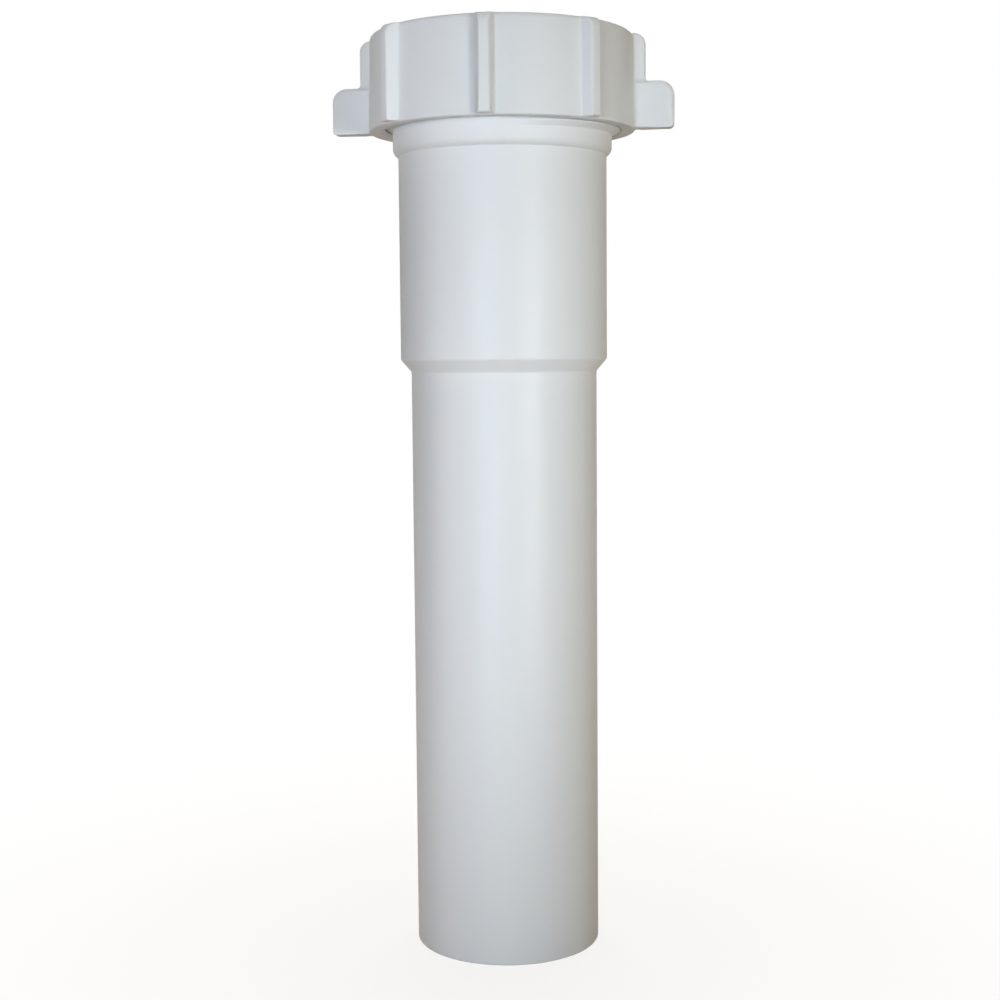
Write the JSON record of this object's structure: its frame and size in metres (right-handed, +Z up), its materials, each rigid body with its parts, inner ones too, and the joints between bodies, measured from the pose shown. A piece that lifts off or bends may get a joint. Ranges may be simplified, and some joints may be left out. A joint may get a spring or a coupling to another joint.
{
  "type": "drain extension tube",
  "caption": "White plastic slip-joint drain extension tube: plain tail, wider threaded socket, winged slip nut and tapered washer.",
  "frame": {"origin": "centre of the plain end, where the tube's axis meets the surface that it stands on", "axes": "+Z up the tube's axis from the plain end to the slip nut, X through the nut's two wings"},
  "size_m": [0.0698, 0.0582, 0.1866],
  "materials": {
    "tube_plastic": "satin white moulded plastic",
    "nut_plastic": "satin white moulded plastic",
    "washer_plastic": "soft waxy natural plastic"
  },
  "bodies": {
    "tube": {"extension_tube": "tube_plastic"},
    "washer": {"slip_washer": "washer_plastic"},
    "nut": {"slip_nut": "nut_plastic"}
  },
  "joints": [
    {"name": "nut_rise", "type": "slide", "parent": "tube", "child": "washer", "axis": [0, 0, 1], "range_m": [0, 0.0106]},
    {"name": "nut_turn", "type": "hinge", "parent": "washer", "child": "nut", "pos_m": [0, 0, 0.1771], "axis": [0, 0, 1], "range_deg": [0, 1710]}
  ],
  "couplings": [
    {"joint": "nut_rise", "follows": "nut_turn", "m_per_rad": 0.00035152}
  ]
}
